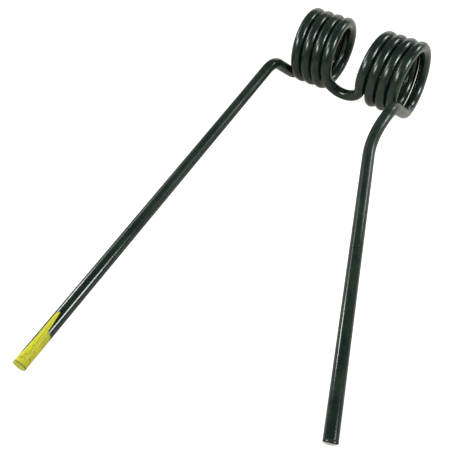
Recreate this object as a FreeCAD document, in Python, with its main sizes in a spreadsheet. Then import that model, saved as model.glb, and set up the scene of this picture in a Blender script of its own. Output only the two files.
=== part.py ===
import FreeCAD, Part
import math
import os
from FreeCAD import Vector

# Double spring tine for a rotary rake: one round wire wound into two coils, joined by a clamp loop.
# It lies as it would on a table, on the undersides of both coils and on both leg tips.
# The origin is the middle of the coils' common axis. X runs along that axis, the legs point to -Y.

doc = FreeCAD.newDocument("rake_tine")

# Driving dimensions, in millimetres and degrees. Angles round a coil start at the front (-Y) and
# run up over the top. Splay is the outward angle in plan, drop the angle below horizontal.
SIZES = [
    ("wire_diameter", 9.5, "round spring wire"),
    ("coil_radius", 28.8, "axis of a coil to the wire's centreline"),
    ("coil_pitch", 10.1, "advance of the wire in one closed turn"),
    ("coil_start_offset", 17.4, "middle of the tine to the start of each coil"),
    ("coil_start_angle", 8.0, "where the loop's wire becomes a turn"),
    ("left_turns", 3.846, "turns in the left coil"),
    ("right_turns", 3.837, "turns in the right coil"),
    ("left_opening", 0.9, "extra advance over the left coil's last half turn"),
    ("right_opening", 0.8, "extra advance over the right coil's last half turn"),
    ("loop_lean_angle", 25.5, "backward bend of the loop's sides"),
    ("loop_lean_radius", 19.0, "radius of that bend"),
    ("loop_side", 3.2, "straight side of the loop"),
    ("left_exit", 27.6, "straight wire from the left coil to its sharp bend"),
    ("right_exit", 46.0, "straight wire from the right coil to its sharp bend"),
    ("sharp_bend_radius", 19.9, "bend from the exit to the shank"),
    ("gentle_bend_radius", 71.0, "bend from the shank to the leg"),
    ("left_shank", 26.6305, "straight wire between the left side's sharp and gentle bends"),
    ("right_shank", 2.1894, "straight wire between the right side's sharp and gentle bends"),
    ("left_shank_splay_angle", 3.4, "outward angle of the left shank"),
    ("left_shank_drop_angle", 16.1, "downward angle of the left shank"),
    ("right_shank_splay_angle", -5.2, "outward angle of the right shank"),
    ("right_shank_drop_angle", 23.1, "downward angle of the right shank"),
    ("left_leg_length", 300.1, "gentle bend's corner to the left tip"),
    ("right_leg_length", 251.6, "gentle bend's corner to the right tip"),
    ("left_leg_splay_angle", -3.9, "outward angle of the left leg"),
    ("right_leg_splay_angle", 21.4, "outward angle of the right leg"),
]

sheet = doc.addObject("Spreadsheet::Sheet", "sizes")
for row, (alias, value, meaning) in enumerate(SIZES, start=1):
    sheet.set("A%d" % row, meaning)
    sheet.set("B%d" % row, str(value))
    sheet.setAlias("B%d" % row, alias)
doc.recompute()


def size(alias):
    return float(sheet.get(alias))


wire_radius = size("wire_diameter") / 2
coil_radius = size("coil_radius")
underside = -(coil_radius + wire_radius)
ARCS_PER_TURN = 8
DROP_CORRECTIONS = 12


def radial(angle):
    """Direction from the coils' axis at an angle round it, from the front up over the top."""
    return Vector(0, -math.cos(angle), math.sin(angle))


def heading(side, splay, drop):
    """Unit direction of a leg that points forward, outward by splay and down by drop."""
    level = math.cos(drop)
    return Vector(side * math.sin(splay) * level, -math.cos(splay) * level, -math.sin(drop))


def line(start, direction, length):
    """A straight stretch and the point where it ends."""
    end = start + direction * length
    return Part.LineSegment(start, end).toShape(), end


def bend(start, before, after, radius):
    """A tangent arc that turns the wire from one direction to another, and its end point."""
    turn = before.getAngle(after)
    inward = (after - before * math.cos(turn)).normalize()
    centre = start + inward * radius
    middle = centre + (before * math.sin(turn / 2) - inward * math.cos(turn / 2)) * radius
    end = centre + (before * math.sin(turn) - inward * math.cos(turn)) * radius
    return Part.Arc(start, middle, end).toShape(), end


def coil(side, turns, opening):
    """A coil as tangent arcs whose joints lie on its helix. The last half turn opens sideways.

    It returns the arcs, the first point and direction, and the last point and direction.
    """
    first = math.radians(size("coil_start_angle"))
    sweep = 2 * math.pi * turns
    step = 2 * math.pi / ARCS_PER_TURN
    # Arcs advance a little further than a helix of the same slope, so the slope is eased.
    easing = (step / 2) / math.tan(step / 2)

    def direction(turned):
        opened = max(0, turned - (sweep - math.pi)) / math.pi
        advance = easing * (size("coil_pitch") / (2 * math.pi) + 2 * opening / math.pi * opened)
        angle = first + turned
        around = Vector(0, math.sin(angle), math.cos(angle)) * coil_radius
        return (around + Vector(side * advance, 0, 0)).normalize()

    start = radial(first) * coil_radius + Vector(side * size("coil_start_offset"), 0, 0)
    place = start
    edges = []
    for number in range(math.ceil(sweep / step)):
        turned = number * step
        arc_angle = min(step, sweep - turned)
        before = direction(turned)
        after = direction(turned + arc_angle)
        level = math.sqrt(1 - before.x ** 2)
        bulge = math.tan(arc_angle / 2) / math.tan(before.getAngle(after) / 2)
        edge, place = bend(place, before, after, coil_radius * bulge / level)
        edges.append(edge)
    return edges, start, direction(0), place, after


def half_loop(side, start, direction):
    """Half of the clamp loop, from a coil's first point down and round to the middle plane."""
    down = direction * -1
    leaning = FreeCAD.Rotation(Vector(1, 0, 0), size("loop_lean_angle")).multVec(down)
    lean_edge, after_lean = bend(start, down, leaning, size("loop_lean_radius"))
    side_edge, after_side = line(after_lean, leaning, size("loop_side"))
    inward = Vector(-side, 0, 0)
    loop_radius = abs(after_side.x) / math.sin(leaning.getAngle(inward))
    crown_edge, crown = bend(after_side, leaning, inward, loop_radius)
    return [crown_edge, side_edge, lean_edge]


def leg(side, start, direction, straight, shank, shank_splay, shank_drop, length, splay):
    """From a coil's end to the tip, with the drop at which the tip lies level with the coils."""
    exit_edge, after_exit = line(start, direction, straight)
    along_shank = heading(side, math.radians(shank_splay), math.radians(shank_drop))
    sharp_edge, after_sharp = bend(after_exit, direction, along_shank, size("sharp_bend_radius"))
    shank_edge, after_shank = line(after_sharp, along_shank, shank)
    # The gentle bend's corner lies lower when the leg drops less, so the drop is corrected in turns.
    along_leg = heading(side, math.radians(splay), 0)
    for correction in range(DROP_CORRECTIONS):
        setback = size("gentle_bend_radius") * math.tan(along_shank.getAngle(along_leg) / 2)
        height = after_shank.z + along_shank.z * setback - underside
        drop = math.asin(height / math.hypot(length, wire_radius)) - math.atan(wire_radius / length)
        along_leg = heading(side, math.radians(splay), drop)
    gentle_edge, after_gentle = bend(after_shank, along_shank, along_leg, size("gentle_bend_radius"))
    leg_edge, tip = line(after_gentle, along_leg, length - setback)
    return [exit_edge, sharp_edge, shank_edge, gentle_edge, leg_edge], tip, along_leg


def half(side, turns, opening, straight, shank, shank_splay, shank_drop, length, splay):
    """One side of the tine, from the middle of the loop to the tip."""
    turns_edges, start, direction, end, leaving = coil(side, turns, opening)
    leg_edges, tip, along = leg(
        side, end, leaving, straight, shank, shank_splay, shank_drop, length, splay)
    return half_loop(side, start, direction) + turns_edges + leg_edges, tip, along


left_half, left_tip, left_heading = half(
    -1, size("left_turns"), size("left_opening"), size("left_exit"), size("left_shank"),
    size("left_shank_splay_angle"), size("left_shank_drop_angle"), size("left_leg_length"),
    size("left_leg_splay_angle"))
right_half, right_tip, right_heading = half(
    1, size("right_turns"), size("right_opening"), size("right_exit"), size("right_shank"),
    size("right_shank_splay_angle"), size("right_shank_drop_angle"), size("right_leg_length"),
    size("right_leg_splay_angle"))

centreline = doc.addObject("Part::Feature", "centreline")
centreline.Shape = Part.Wire(list(reversed(left_half)) + right_half)

# The round section stands at the left tip, square to the wire.
section = doc.addObject("Part::Circle", "wire_section")
section.setExpression("Radius", "sizes.wire_diameter / 2")
section.Placement = FreeCAD.Placement(left_tip, FreeCAD.Rotation(Vector(0, 0, 1), left_heading * -1))

tine = doc.addObject("Part::Sweep", "spring_tine")
tine.Label = "spring_tine"
tine.Sections = [section]
tine.Spine = (centreline, ["Edge%d" % (n + 1) for n in range(len(centreline.Shape.Edges))])
tine.Solid = True
tine.Frenet = True
tine.Placement = FreeCAD.Placement()
doc.recompute()

for item in doc.Objects:
    if "Invalid" in item.State or "Error" in item.State:
        raise RuntimeError("%s failed: %s" % (item.Name, item.State))
if tine.Shape.isNull() or not tine.Shape.isValid():
    raise RuntimeError("spring_tine has no valid shape")
wire_volume = math.pi * wire_radius ** 2 * centreline.Shape.Length
print("wire length %.1f mm, volume %.0f mm3, section times length %.0f mm3" % (
    centreline.Shape.Length, tine.Shape.Volume, wire_volume))
print("tips", left_tip, right_tip, "box", tine.Shape.BoundBox)
print("solids", len(tine.Shape.Solids), "faces", len(tine.Shape.Faces))

os.makedirs("parts", exist_ok=True)
tine.Shape.exportStep("parts/spring_tine.step")
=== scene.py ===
import math

import bpy
from mathutils import Matrix, Vector


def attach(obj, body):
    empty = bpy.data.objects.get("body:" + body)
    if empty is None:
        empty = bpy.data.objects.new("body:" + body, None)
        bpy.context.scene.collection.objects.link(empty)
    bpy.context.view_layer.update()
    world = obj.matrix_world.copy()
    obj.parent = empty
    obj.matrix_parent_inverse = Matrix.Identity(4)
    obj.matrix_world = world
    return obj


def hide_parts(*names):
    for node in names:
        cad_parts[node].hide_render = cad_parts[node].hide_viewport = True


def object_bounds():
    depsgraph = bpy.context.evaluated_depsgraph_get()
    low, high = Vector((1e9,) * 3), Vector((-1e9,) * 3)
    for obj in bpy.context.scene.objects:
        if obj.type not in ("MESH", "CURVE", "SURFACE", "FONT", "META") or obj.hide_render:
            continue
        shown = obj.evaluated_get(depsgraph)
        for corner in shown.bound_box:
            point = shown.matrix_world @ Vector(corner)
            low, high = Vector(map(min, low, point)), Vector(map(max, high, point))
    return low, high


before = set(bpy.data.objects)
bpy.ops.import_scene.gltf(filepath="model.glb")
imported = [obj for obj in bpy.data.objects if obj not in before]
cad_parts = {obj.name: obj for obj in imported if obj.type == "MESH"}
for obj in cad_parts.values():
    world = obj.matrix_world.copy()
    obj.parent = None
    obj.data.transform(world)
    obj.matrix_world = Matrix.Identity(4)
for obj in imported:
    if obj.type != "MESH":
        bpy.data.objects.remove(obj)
cad_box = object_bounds()

# The camera stands in front of the tine, a little to its right, and looks down on it.
# Its place, turn and lens are those of the photograph, whose middle lies on the lens axis.
PHOTO_PIXELS = 455
LENS_PIXELS = 707.5
SENSOR_WIDTH = 36.0
CAMERA_PLACE = (0.20735, -0.52195, 0.36331)
CAMERA_TURN = (43.317, 0.110, 33.720)
NEAREST_SEEN = 0.01

camera_data = bpy.data.cameras.new("camera")
camera_data.sensor_fit = "HORIZONTAL"
camera_data.sensor_width = SENSOR_WIDTH
camera_data.lens = LENS_PIXELS / PHOTO_PIXELS * SENSOR_WIDTH
camera_data.clip_start = NEAREST_SEEN
camera = bpy.data.objects.new("camera", camera_data)
camera.location = CAMERA_PLACE
camera.rotation_euler = [math.radians(angle) for angle in CAMERA_TURN]
bpy.context.scene.collection.objects.link(camera)
bpy.context.scene.camera = camera
bpy.context.scene.view_settings.view_transform = "Standard"

# The table is a plain white sheet that runs on past the picture on every side.
# The lens sees it evenly white, with a faint shadow of the wire. The paint's gloss sees it dim and
# a little green, brighter in front of the tine and brightest behind it.
TABLE_HALF_WIDTH = 3.0
TABLE_COLOUR = (0.50, 0.49, 0.45, 1)
TABLE_GLOW = 0.85
GLOSS_GLOW = 0.14
GLOSS_GLOW_IN_FRONT = 0.28
GLOSS_GLOW_BEHIND = 0.52
GLOSS_TINT = (0.94, 1.0, 0.84, 1)
WHITE = (1, 1, 1, 1)
FORWARD = (0, -1, 0)
BACKWARD = (0, 1, 0)
# Where the gloss's view of the sheet starts and ends to brighten, in metres from the coils' axis.
BRIGHTER_IN_FRONT = (0.08, 0.40)
BRIGHTER_BEHIND = (-0.05, 0.04)
ENAMEL_THICKNESS = 0.00011


class Signal:
    """A shader socket that adds a Math node for each operator in an expression."""

    def __init__(self, paint, socket):
        self.paint = paint
        self.socket = socket

    def __add__(self, other):
        return self.paint.number("ADD", self, other)

    def __radd__(self, other):
        return self.paint.number("ADD", other, self)

    def __sub__(self, other):
        return self.paint.number("SUBTRACT", self, other)

    def __rsub__(self, other):
        return self.paint.number("SUBTRACT", other, self)

    def __mul__(self, other):
        return self.paint.number("MULTIPLY", self, other)

    def __rmul__(self, other):
        return self.paint.number("MULTIPLY", other, self)

    def __truediv__(self, other):
        return self.paint.number("DIVIDE", self, other)

    def __rtruediv__(self, other):
        return self.paint.number("DIVIDE", other, self)


class Paint:
    """A node material under construction."""

    def __init__(self, name):
        self.material = bpy.data.materials.new(name)
        self.material.use_nodes = True
        self.tree = self.material.node_tree
        self.tree.nodes.clear()

    def node(self, kind, settings, values, output=0):
        """Adds a node, with its settings first and then its sockets' values or links."""
        made = self.tree.nodes.new(kind)
        for setting, value in settings.items():
            if setting == "stops":
                ramp = made.color_ramp
                for number, (place, colour) in enumerate(value):
                    stop = ramp.elements[number] if number < 2 else ramp.elements.new(place)
                    stop.position = place
                    stop.color = colour
            else:
                setattr(made, setting, value)
        for socket, value in values.items():
            if isinstance(value, Signal):
                self.tree.links.new(value.socket, made.inputs[socket])
            else:
                made.inputs[socket].default_value = value
        return Signal(self, made.outputs[output]) if made.outputs else None

    def number(self, operation, *values):
        return self.node("ShaderNodeMath", {"operation": operation}, dict(enumerate(values)))

    def dot(self, place, direction):
        return self.node("ShaderNodeVectorMath", {"operation": "DOT_PRODUCT"},
                         {0: place, 1: tuple(direction)}, "Value")

    def distance(self, place, point):
        return self.node("ShaderNodeVectorMath", {"operation": "DISTANCE"},
                         {0: place, 1: tuple(point)}, "Value")

    def step(self, value, low, high):
        """Rises smoothly from 0 at low to 1 at high."""
        return self.node("ShaderNodeMapRange", {"interpolation_type": "SMOOTHSTEP"},
                         {"Value": value, "From Min": low, "From Max": high})

    def noise(self, place, scale, detail, roughness):
        """A pattern whose values lie about 0.5."""
        return self.node("ShaderNodeTexNoise", {},
                         {"Vector": place, "Scale": scale, "Detail": detail, "Roughness": roughness})

    def mix(self, factor, first, second):
        return self.node("ShaderNodeMix", {"data_type": "RGBA"}, {0: factor, 6: first, 7: second}, 2)

    def ramp(self, share, stops, top):
        """A line through the given heights, which are at most top."""
        stops = [(at, (height / top,) * 3 + (1,)) for at, height in stops]
        return self.node("ShaderNodeValToRGB", {"stops": stops}, {"Fac": share}) * top

    def finish(self, surface):
        self.node("ShaderNodeOutputMaterial", {}, {"Surface": surface})
        return self.material


# The sheet lies under the coat of paint on the coils' undersides.
underside = cad_box[0].z - ENAMEL_THICKNESS
table_mesh = bpy.data.meshes.new("table")
corners = [(-1, -1), (1, -1), (1, 1), (-1, 1)]
table_mesh.from_pydata([(x * TABLE_HALF_WIDTH, y * TABLE_HALF_WIDTH, underside) for x, y in corners],
                       [], [(0, 1, 2, 3)])
table = bpy.data.objects.new("table", table_mesh)
bpy.context.scene.collection.objects.link(table)

white = Paint("white_table")
seen_by_lens = white.node("ShaderNodeLightPath", {}, {}, "Is Camera Ray")
seen_by_gloss = white.node("ShaderNodeLightPath", {}, {}, "Is Glossy Ray")
seen_through_glass = white.node("ShaderNodeLightPath", {}, {}, "Is Transmission Ray")
table_place = white.node("ShaderNodeTexCoord", {}, {}, "Object")
behind = white.step(white.dot(table_place, BACKWARD), *BRIGHTER_BEHIND)
in_front = white.step(white.dot(table_place, FORWARD), *BRIGHTER_IN_FRONT)
sheen = (behind * (GLOSS_GLOW_BEHIND - GLOSS_GLOW)
         + in_front * (GLOSS_GLOW_IN_FRONT - GLOSS_GLOW)
         + GLOSS_GLOW)
seen = seen_by_lens + seen_through_glass + seen_by_gloss * sheen
sheet = white.node("ShaderNodeBsdfDiffuse", {}, {"Color": TABLE_COLOUR})
glow_colour = white.mix(seen_by_gloss, WHITE, GLOSS_TINT)
glow = white.node("ShaderNodeEmission", {}, {"Color": glow_colour, "Strength": seen * TABLE_GLOW})
glowing_sheet = white.node("ShaderNodeAddShader", {}, {0: sheet, 1: glow})
table_mesh.materials.append(white.finish(glowing_sheet))

# The room is dim, behind a white backdrop that only the lens sees. Soft boxes stand round the tine:
# one behind it, a bright and a faint one on its left, one on its right, one behind the camera and a
# faint wide one at the far side. Each row gives a box's middle, its face's width and height, its light.
ROOM_LIGHT = 0.17
BACKDROP_LIGHT = 1.0
BOXES_FACE = Vector((0, -0.1, 0))
SOFT_BOXES = [
    ("box_behind", (0.33, 0.45, 0.30), 0.17, 0.14, 14.0),
    ("box_left", (-0.56, -0.176, 0.262), 0.10, 0.16, 20.0),
    ("box_left_faint", (-0.56, -0.010, 0.30), 0.21, 0.20, 2.8),
    ("box_right", (0.70, 0.0, 0.415), 0.22, 0.25, 25.0),
    ("box_front", (-0.54, -1.15, 0.75), 0.85, 0.33, 17.0),
    ("box_backdrop", (-0.22, 1.50, 0.27), 1.35, 0.55, 1.3),
]

room = bpy.data.worlds.new("room")
room.use_nodes = True
room_path = room.node_tree.nodes.new("ShaderNodeLightPath")
room_strength = room.node_tree.nodes.new("ShaderNodeMapRange")
room_strength.inputs["To Min"].default_value = ROOM_LIGHT
room_strength.inputs["To Max"].default_value = BACKDROP_LIGHT
room.node_tree.links.new(room_path.outputs["Is Camera Ray"], room_strength.inputs["Value"])
room_background = room.node_tree.nodes["Background"]
room_background.inputs["Color"].default_value = WHITE
room.node_tree.links.new(room_strength.outputs["Result"], room_background.inputs["Strength"])
bpy.context.scene.world = room
for name, middle, width, height, light in SOFT_BOXES:
    lamp = bpy.data.lights.new(name, "AREA")
    lamp.shape = "RECTANGLE"
    lamp.size = width
    lamp.size_y = height
    lamp.energy = light * math.pi * width * height
    box = bpy.data.objects.new(name, lamp)
    box.location = middle
    box.rotation_euler = (Vector(middle) - BOXES_FACE).to_track_quat("Z", "Y").to_euler()
    box.visible_camera = False
    bpy.context.scene.collection.objects.link(box)

# The tine is one length of 9.5 mm spring wire. A bench winds its two coils from the middle out and
# bends the loop and the legs. It is then dipped in dark green paint, and one tip is brushed yellow.
WIRE_DIAMETER = 0.0095
COIL_RADIUS = 0.0288
COIL_PITCH = 0.0101
COIL_START_OFFSET = 0.0174
COIL_START_ANGLE = math.radians(8.0)
LOOP_LEAN = math.radians(25.5)
LOOP_LEAN_RADIUS = 0.019
LOOP_SIDE = 0.0032
SHARP_BEND_RADIUS = 0.0199
GENTLE_BEND_RADIUS = 0.0710
TIP_ROUNDING = 0.0005
# The solid's coils are eight arcs a turn, so its wire leaves them at this share of a helix's slope.
HALF_ARC = math.radians(22.5)
ARC_SLOPE = HALF_ARC / math.tan(HALF_ARC)
# The wire is drawn in short steps: by angle round a coil or a bend, by length along a leg.
COIL_STEP = math.radians(3)
BEND_STEP = math.radians(3)
LEG_STEP = 0.006
TIP_STEPS = 6
WIRE_SIDES = 40

# Each side's turns, lengths in metres and angles in degrees. The opening is the extra advance over
# the coil's last half turn. Shank and leg are measured to the corner that the gentle bend cuts off.
LEFT = {"side": -1, "turns": 3.846, "opening": 0.0009, "straight": 0.0276, "shank": 0.0354,
        "shank_splay": 3.4, "shank_drop": 16.1, "length": 0.3001, "splay": -3.9}
RIGHT = {"side": 1, "turns": 3.837, "opening": 0.0008, "straight": 0.0460, "shank": 0.0214,
         "shank_splay": -5.2, "shank_drop": 23.1, "length": 0.2516, "splay": 21.4}


def heading(side, splay, drop):
    """Unit direction forward along the table, turned outward by splay and down by drop."""
    level = math.cos(drop)
    return Vector((side * math.sin(splay) * level, -math.cos(splay) * level, -math.sin(drop)))


def add_line(points, direction, length, step):
    """Carries the wire straight on from its last point."""
    start = points[-1]
    count = max(1, round(length / step))
    points += [start + direction * (length * number / count) for number in range(1, count + 1)]


def add_bend(points, before, after, radius):
    """Carries the wire round an arc from one direction to another."""
    start = points[-1]
    turn = before.angle(after)
    inward = (after - before * math.cos(turn)).normalized()
    count = max(2, math.ceil(turn / BEND_STEP))
    for number in range(1, count + 1):
        turned = turn * number / count
        points.append(start + (before * math.sin(turned) + inward * (1 - math.cos(turned))) * radius)


def wound_coil(side, turns, opening):
    """A coil's points, and the wire's direction at its first and last point."""
    sweep = 2 * math.pi * turns
    pitch = COIL_PITCH / (2 * math.pi)
    count = math.ceil(sweep / COIL_STEP)
    points = []
    for number in range(count + 1):
        turned = sweep * number / count
        opened = max(0, turned - (sweep - math.pi)) / math.pi
        angle = COIL_START_ANGLE + turned
        across = COIL_START_OFFSET + pitch * turned + opening * opened ** 2
        points.append(Vector((side * across, -COIL_RADIUS * math.cos(angle),
                              COIL_RADIUS * math.sin(angle))))
    directions = []
    for angle, advance in ((COIL_START_ANGLE, pitch),
                           (COIL_START_ANGLE + sweep, pitch + 2 * opening / math.pi)):
        around = Vector((side * advance * ARC_SLOPE, COIL_RADIUS * math.sin(angle),
                         COIL_RADIUS * math.cos(angle)))
        directions.append(around.normalized())
    return points, directions[0], directions[1]


def half_tine(side, turns, opening, straight, shank, shank_splay, shank_drop, length, splay):
    """One side's points from the middle of the loop out to the tip."""
    coil, first, leaving = wound_coil(side, turns, opening)
    down = -first
    leaning = Matrix.Rotation(LOOP_LEAN, 3, "X") @ down
    loop = [coil[0]]
    add_bend(loop, down, leaning, LOOP_LEAN_RADIUS)
    add_line(loop, leaning, LOOP_SIDE, LOOP_SIDE)
    inward = Vector((-side, 0, 0))
    add_bend(loop, leaning, inward, abs(loop[-1].x) / math.sin(leaning.angle(inward)))
    points = loop[::-1] + coil[1:]
    add_line(points, leaving, straight, LEG_STEP)
    along_shank = heading(side, math.radians(shank_splay), math.radians(shank_drop))
    add_bend(points, leaving, along_shank, SHARP_BEND_RADIUS)
    # The leg drops just so far that its tip lies level with the undersides of the coils.
    corner = points[-1] + along_shank * shank
    wire_radius = WIRE_DIAMETER / 2
    height = corner.z + COIL_RADIUS + wire_radius
    drop = math.asin(height / math.hypot(length, wire_radius)) - math.atan(wire_radius / length)
    along_leg = heading(side, math.radians(splay), drop)
    setback = GENTLE_BEND_RADIUS * math.tan(along_shank.angle(along_leg) / 2)
    add_line(points, along_shank, shank - setback, LEG_STEP)
    add_bend(points, along_shank, along_leg, GENTLE_BEND_RADIUS)
    add_line(points, along_leg, length - setback - TIP_ROUNDING, LEG_STEP)
    shoulder = points[-1]
    for number in range(1, TIP_STEPS + 1):
        quarter_turned = math.pi / 2 * number / TIP_STEPS
        points.append(shoulder + along_leg * TIP_ROUNDING * math.sin(quarter_turned))
    return points


left_points = half_tine(**LEFT)
right_points = half_tine(**RIGHT)
centreline = left_points[::-1] + right_points[1:]
along = [0.0]
for before, after in zip(centreline, centreline[1:]):
    along.append(along[-1] + (after - before).length)
wire_length = along[-1]

# The line carries its length from the left tip, and how far each tip's rounded edge narrows the wire.
line_mesh = bpy.data.meshes.new("tine_wire")
line_mesh.from_pydata(centreline, [(n, n + 1) for n in range(len(centreline) - 1)], [])
measured = line_mesh.attributes.new("along", "FLOAT", "POINT")
thickness = line_mesh.attributes.new("thickness", "FLOAT", "POINT")
for number, distance in enumerate(along):
    measured.data[number].value = distance
    nearer_tip = min(distance, wire_length - distance)
    lost = 1 - math.sqrt(max(0, 1 - (1 - min(1, nearer_tip / TIP_ROUNDING)) ** 2))
    thickness.data[number].value = 1 - lost * TIP_ROUNDING / (WIRE_DIAMETER / 2)

# A node tree draws the round wire along that line, with closed square-cut tips.
wire_tree = bpy.data.node_groups.new("round_wire", "GeometryNodeTree")
wire_tree.interface.new_socket("Line", in_out="INPUT", socket_type="NodeSocketGeometry")
wire_inputs = {}
for name, kind in (("Wire Radius", "NodeSocketFloat"), ("Sides", "NodeSocketInt"),
                   ("Paint", "NodeSocketMaterial")):
    wire_inputs[name] = wire_tree.interface.new_socket(name, in_out="INPUT", socket_type=kind)
wire_tree.interface.new_socket("Wire", in_out="OUTPUT", socket_type="NodeSocketGeometry")


def add_step(kind, settings, values):
    """Adds a geometry node, with its settings first and then its sockets' values or links."""
    made = wire_tree.nodes.new(kind)
    for setting, value in settings.items():
        setattr(made, setting, value)
    for socket, value in values.items():
        if isinstance(value, bpy.types.NodeSocket):
            wire_tree.links.new(value, made.inputs[socket])
        else:
            made.inputs[socket].default_value = value
    return made.outputs


given = add_step("NodeGroupInput", {}, {})
curve = add_step("GeometryNodeMeshToCurve", {}, {"Mesh": given["Line"]})
narrowing = add_step("GeometryNodeInputNamedAttribute", {"data_type": "FLOAT"}, {"Name": "thickness"})
rounded = add_step("GeometryNodeSetCurveRadius", {},
                   {"Curve": curve["Curve"], "Radius": narrowing["Attribute"]})
circle = add_step("GeometryNodeCurvePrimitiveCircle", {},
                  {"Resolution": given["Sides"], "Radius": given["Wire Radius"]})
swept = add_step("GeometryNodeCurveToMesh", {},
                 {"Curve": rounded["Curve"], "Profile Curve": circle["Curve"], "Fill Caps": True})
smooth = add_step("GeometryNodeSetShadeSmooth", {}, {"Geometry": swept["Mesh"]})
real = add_step("GeometryNodeRealizeInstances", {}, {"Geometry": smooth["Geometry"]})
painted = add_step("GeometryNodeSetMaterial", {},
                   {"Geometry": real["Geometry"], "Material": given["Paint"]})
add_step("NodeGroupOutput", {}, {"Wire": painted["Geometry"]})

# The enamel is a deep green, nearly black, with the gloss and the faint orange peel of a dipped coat.
# Each pattern below is a noise: its scale, its detail and how rough that detail is.
DEEP_GREEN = (0.0032, 0.0108, 0.0088, 1)
WORN_GREEN = (0.0125, 0.0255, 0.0150, 1)
RUST = (0.055, 0.022, 0.012, 1)
CLOUDS = (38, 3, 0.6)
MOTTLE = (240, 4, 0.6)
ORANGE_PEEL = (850, 1, 0.5)
RUST_SPECKS = (150, 5, 0.7)
CLOUD_SHARE = 0.6
WORN_WHERE = (0.38, 0.64)
RUSTY_WHERE = (0.72, 0.76)
RUST_COVER = 0.7

enamel = Paint("green_black_enamel")
place = enamel.node("ShaderNodeTexCoord", {}, {}, "Object")
cloud = enamel.noise(place, *CLOUDS)
mottle = enamel.noise(place, *MOTTLE)
peel = enamel.noise(place, *ORANGE_PEEL)
speck = enamel.noise(place, *RUST_SPECKS)
worn = enamel.step(cloud * CLOUD_SHARE + mottle * (1 - CLOUD_SHARE), *WORN_WHERE)
rusty = enamel.step(speck, *RUSTY_WHERE)
coat_colour = enamel.mix(worn, DEEP_GREEN, WORN_GREEN)
coat_colour = enamel.mix(rusty * RUST_COVER, coat_colour, RUST)

# The left tip was brushed yellow by hand, in one stroke along the top that ran up the wire.
# Its reach from the tip, in metres, goes by the share of the way round the wire, from below.
YELLOW = (0.67, 0.68, 0.010, 1)
TAN_YELLOW = (0.58, 0.44, 0.028, 1)
OLIVE_YELLOW = (0.42, 0.44, 0.016, 1)
RIM_OLIVE = (0.050, 0.056, 0.014, 1)
YELLOW_REACH = [
    (0.00, 0.006), (0.10, 0.008), (0.410, 0.008), (0.430, 0.012), (0.443, 0.0435), (0.53, 0.0435),
    (0.585, 0.029), (0.62, 0.0275), (0.75, 0.0265), (0.86, 0.020), (0.94, 0.008), (1.00, 0.006),
]
REACH_LIMIT = 0.05
# The brush's lines run along the wire, so a pattern is finer round the wire than along it.
LINES_ROUND = 4.5
LINES_ALONG = 60
BRISTLES = (2.2, 4, 0.6)
RAGGED_EDGE = (5.0, 3, 0.7)
BRUSH_GRAIN = (1.0, 4, 0.65)
TAN_STREAKS = (1.3, 2, 0.5)
FLECKS = (420, 3, 0.6)
EDGE_WANDER = 0.045
BRISTLE_MILLIMETRES = 5
TO_MILLIMETRES = 1000
COVERED_WITHIN = (-0.35, 0.45)
THICK_WITHIN = (0.2, 2.2)
YELLOW_WHERE = (0.40, 0.56)
TAN_WHERE = (0.52, 0.66)
# The stroke is worn off in a broken line just above the tip's end face, and flecked above that.
RIM_LINE = 0.0008
RIM_LINE_FADE = (0.0003, 0.0010)
RIM_WORN_WHERE = (0.42, 0.54)
FLECKED_WHERE = (0.54, 0.62)
FLECKS_FADE = (0.008, 0.026)
FLECK_COVER = 0.45
# A tip's axes are measured from its end face back to a point on the straight leg.
STRAIGHT_POINT = -12


def tip_axes(points):
    """A leg's tip, with the directions to its right and up across the wire."""
    along_leg = (points[-1] - points[STRAIGHT_POINT]).normalized()
    rightward = Vector((0, 0, 1)).cross(along_leg).normalized()
    return points[-1], rightward, along_leg.cross(rightward)


def from_axis(point, direction):
    """How far the surface lies from a point, measured along a direction."""
    return enamel.dot(place, direction) - direction.dot(point)


tip, rightward, upward = tip_axes(left_points)
round_angle = enamel.number("ARCTAN2", from_axis(tip, rightward), from_axis(tip, upward))
round_share = round_angle / (2 * math.pi) + 0.5
from_tip = enamel.node("ShaderNodeAttribute", {"attribute_name": "along"}, {}, "Fac")
stroke = enamel.node("ShaderNodeCombineXYZ", {},
                     {"X": round_angle * LINES_ROUND, "Y": from_tip * LINES_ALONG, "Z": 0.0})
bristle = enamel.noise(stroke, *BRISTLES)
ragged = enamel.noise(stroke, *RAGGED_EDGE)
grain = enamel.noise(stroke, *BRUSH_GRAIN)
streak = enamel.noise(stroke, *TAN_STREAKS)
reach = enamel.ramp(round_share + (ragged - 0.5) * EDGE_WANDER, YELLOW_REACH, REACH_LIMIT)
inside_edge = (reach - from_tip) * TO_MILLIMETRES + (bristle - 0.5) * BRISTLE_MILLIMETRES
yellow_cover = enamel.step(inside_edge, *COVERED_WITHIN)
rim_gap = enamel.number("ABSOLUTE", from_tip - RIM_LINE)
rim_wear = (1 - enamel.step(rim_gap, *RIM_LINE_FADE)) * enamel.step(ragged, *RIM_WORN_WHERE)
fleck = (enamel.step(enamel.noise(place, *FLECKS), *FLECKED_WHERE)
         * (1 - enamel.step(from_tip, *FLECKS_FADE)))
yellow = enamel.mix(enamel.step(grain, *YELLOW_WHERE), OLIVE_YELLOW, YELLOW)
yellow = enamel.mix(enamel.step(streak, *TAN_WHERE), yellow, TAN_YELLOW)
yellow = enamel.mix(enamel.step(inside_edge, *THICK_WITHIN), OLIVE_YELLOW, yellow)
yellow = enamel.mix(rim_wear, yellow, RIM_OLIVE)
yellow = enamel.mix(fleck * FLECK_COVER, yellow, RIM_OLIVE)

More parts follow.
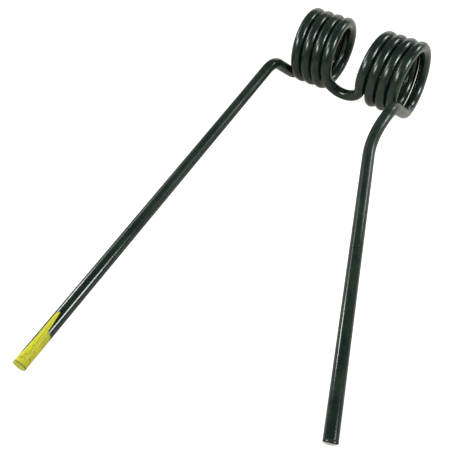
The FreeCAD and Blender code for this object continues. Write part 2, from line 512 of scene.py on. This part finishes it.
# The right tip's end face gets a painted reflection of the white table, a pale band along its lower
# edge, and two painted glints above it. A glint is given by how far it lies to the right of the face's
# middle and above it.
PALE_REFLECTION = (0.60, 0.64, 0.50, 1)
END_FACE_WITHIN = (0.0002, 0.0005)
REFLECTION_BELOW = (-0.0014, -0.0006)
REFLECTION_WANDER = 0.003
GLINTS = [(-0.0024, 0.0024), (0.0025, 0.0020)]
GLINT_FADE = (0.00042, 0.00098)

face_middle, face_rightward, face_upward = tip_axes(right_points)
from_right_tip = wire_length - from_tip
end_face = 1 - enamel.step(from_right_tip, *END_FACE_WITHIN)
face_height = from_axis(face_middle, face_upward) + (mottle - 0.5) * REFLECTION_WANDER
painted_reflection = 1 - enamel.step(face_height, *REFLECTION_BELOW)
for aside, above in GLINTS:
    glint = face_middle + face_rightward * aside + face_upward * above
    painted_reflection = painted_reflection + (1 - enamel.step(enamel.distance(place, glint), *GLINT_FADE))
# Painted reflection and glints: a pale colour is mixed onto the end face's lower edge and two spots.
coat_colour = enamel.mix(end_face * painted_reflection, coat_colour, PALE_REFLECTION)
colour = enamel.mix(yellow_cover, coat_colour, yellow)

# The coat is glossiest on the lower legs and softer on their upper part and on the coils.
# The end face, rust and the brushed yellow are duller. Lengths run from the nearer tip.
UPPER_LEG_FROM = (0.13, 0.20)
UPPER_LEG_TO = (0.30, 0.36)
COILS_FROM = (0.34, 0.38)
ENAMEL_ROUGHNESS = 0.13
ENAMEL_IOR = 1.5
ENAMEL_GLOSS_TINT = (0.93, 1.0, 0.96, 1)
# How high each mark stands in the coat, in shares of the relief, which is in metres.
RELIEF = 0.00012
RELIEF_STRENGTH = 0.12
PEEL_HEIGHT = 0.3
MOTTLE_HEIGHT = 0.3
BRISTLE_HEIGHT = 4.5
YELLOW_HEIGHT = 1.6

from_nearer_tip = enamel.number("MINIMUM", from_tip, from_right_tip)
upper_leg = (enamel.step(from_nearer_tip, *UPPER_LEG_FROM)
             - enamel.step(from_nearer_tip, *UPPER_LEG_TO))
wound = enamel.step(from_nearer_tip, *COILS_FROM)
roughness = ENAMEL_ROUGHNESS
for mark, duller_by in ((mottle, 0.08), (wound, 0.06), (upper_leg, 0.16), (end_face, 0.8),
                        (rusty, 0.3), (yellow_cover, 0.36)):
    roughness = roughness + mark * duller_by

height = (peel * PEEL_HEIGHT + mottle * MOTTLE_HEIGHT
          + bristle * yellow_cover * BRISTLE_HEIGHT + yellow_cover * YELLOW_HEIGHT)
bumped = enamel.node("ShaderNodeBump", {},
                     {"Strength": RELIEF_STRENGTH, "Distance": RELIEF, "Height": height})
enamel_surface = enamel.node(
    "ShaderNodeBsdfPrincipled", {},
    {"Base Color": colour, "Roughness": roughness, "IOR": ENAMEL_IOR,
     "Specular Tint": ENAMEL_GLOSS_TINT, "Normal": bumped})
enamel_material = enamel.finish(enamel_surface)

wire_source = bpy.data.objects.new("tine_wire_source", line_mesh)
bpy.context.scene.collection.objects.link(wire_source)
modifier = wire_source.modifiers.new("round_wire", "NODES")
modifier.node_group = wire_tree
modifier[wire_inputs["Wire Radius"].identifier] = WIRE_DIAMETER / 2 + ENAMEL_THICKNESS
modifier[wire_inputs["Sides"].identifier] = WIRE_SIDES
modifier[wire_inputs["Paint"].identifier] = enamel_material
evaluated_source = wire_source.evaluated_get(bpy.context.evaluated_depsgraph_get())
drawn = bpy.data.meshes.new_from_object(evaluated_source)
bpy.data.objects.remove(wire_source)
wire = bpy.data.objects.new("tine_wire", drawn)
bpy.context.scene.collection.objects.link(wire)
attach(wire, "root")
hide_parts("spring_tine")
